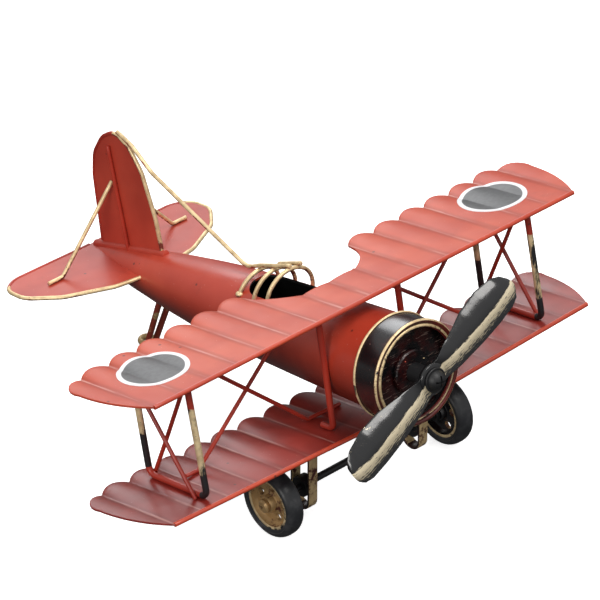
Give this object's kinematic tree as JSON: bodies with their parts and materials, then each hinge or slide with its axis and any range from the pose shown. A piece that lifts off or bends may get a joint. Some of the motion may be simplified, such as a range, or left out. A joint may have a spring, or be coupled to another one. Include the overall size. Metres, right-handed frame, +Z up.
{
  "type": "propeller plane model",
  "caption": "Hand-made tin biplane ornament: fluted wings on wire struts, round cowl with a spinning propeller, spoked rolling wheels and a fixed tail skid.",
  "frame": {"origin": "bottom centre of the whole model, on the surface that the wheels and tail skid stand on", "axes": "+Z up, -Y towards the nose, +X towards the port wing tip"},
  "size_m": [0.1614, 0.145, 0.0671],
  "materials": {
    "red_tin": "satin brick-red enamel on tin sheet, lightly speckled",
    "red_wire": "satin red enamel on steel wire",
    "gold_over_black_wire": "antique gold rubbed over black and red on steel wire",
    "cowl_black": "gloss black with worn dark red showing through",
    "antique_gold": "pale gold dry-brushed over black",
    "black_hardware": "matt black with a little gold rub",
    "gear_strip": "dark red strip with gold-rubbed edges",
    "black_rubber": "satin black",
    "wheel_gold": "aged gold over black",
    "badge": "printed sticker, dark grey with a white edge"
  },
  "bodies": {
    "airframe": {"axle": "black_hardware", "axle_bush_port": "gear_strip", "axle_bush_starboard": "gear_strip", "axle_cap_port": "black_hardware", "axle_cap_starboard": "black_hardware", "axle_collar_port": "black_hardware", "axle_collar_starboard": "black_hardware", "bay_brace_inward_port": "red_wire", "bay_brace_inward_starboard": "red_wire", "bay_brace_outward_port": "red_wire", "bay_brace_outward_starboard": "red_wire", "cabane_strut_port": "red_wire", "cabane_strut_starboard": "red_wire", "canopy_hoop_back": "gold_over_black_wire", "canopy_hoop_front": "gold_over_black_wire", "canopy_hoop_middle": "gold_over_black_wire", "canopy_side_wire": "gold_over_black_wire", "cowl_drum": "cowl_black", "cowl_front_ring": "antique_gold", "cowl_rear_rim": "antique_gold", "engine_boss": "cowl_black", "engine_face": "cowl_black", "fin": "red_tin", "fin_edge_wire": "gold_over_black_wire", "fin_rib_wires": "red_wire", "fuselage_shell": "red_tin", "gear_leg_port": "gear_strip", "gear_leg_starboard": "gear_strip", "lower_wing": "red_tin", "outer_brace_falling_port": "red_wire", "outer_brace_falling_starboard": "red_wire", "outer_brace_rising_port": "red_wire", "outer_brace_rising_starboard": "red_wire", "outer_strut_port": "gold_over_black_wire", "outer_strut_starboard": "gold_over_black_wire", "propeller_nut": "black_hardware", "propeller_screw": "black_hardware", "propeller_spacer": "black_hardware", "propeller_washer": "black_hardware", "spine_wire": "gold_over_black_wire", "tail_brace_port": "gold_over_black_wire", "tail_brace_starboard": "gold_over_black_wire", "tail_skid": "gear_strip", "tailplane": "red_tin", "tailplane_edge_wire_port": "gold_over_black_wire", "tailplane_edge_wire_starboard": "gold_over_black_wire", "upper_wing": "red_tin", "wing_badge_port": "badge", "wing_badge_starboard": "badge"},
    "propeller": {"propeller": "antique_gold"},
    "wheel_port": {"tyre_port": "black_rubber", "wheel_rim_port": "wheel_gold"},
    "wheel_starboard": {"tyre_starboard": "black_rubber", "wheel_rim_starboard": "wheel_gold"}
  },
  "joints": [
    {"name": "propeller_spin", "type": "hinge", "parent": "airframe", "child": "propeller", "pos_m": [0, -0.0671, 0.04968], "axis": [0, -0.9778, 0.2096], "continuous": true},
    {"name": "wheel_port_spin", "type": "hinge", "parent": "airframe", "child": "wheel_port", "pos_m": [0.0308, -0.03973, 0.01], "axis": [1, 0, 0], "continuous": true},
    {"name": "wheel_starboard_spin", "type": "hinge", "parent": "airframe", "child": "wheel_starboard", "pos_m": [-0.0308, -0.03973, 0.01], "axis": [1, 0, 0], "continuous": true}
  ]
}
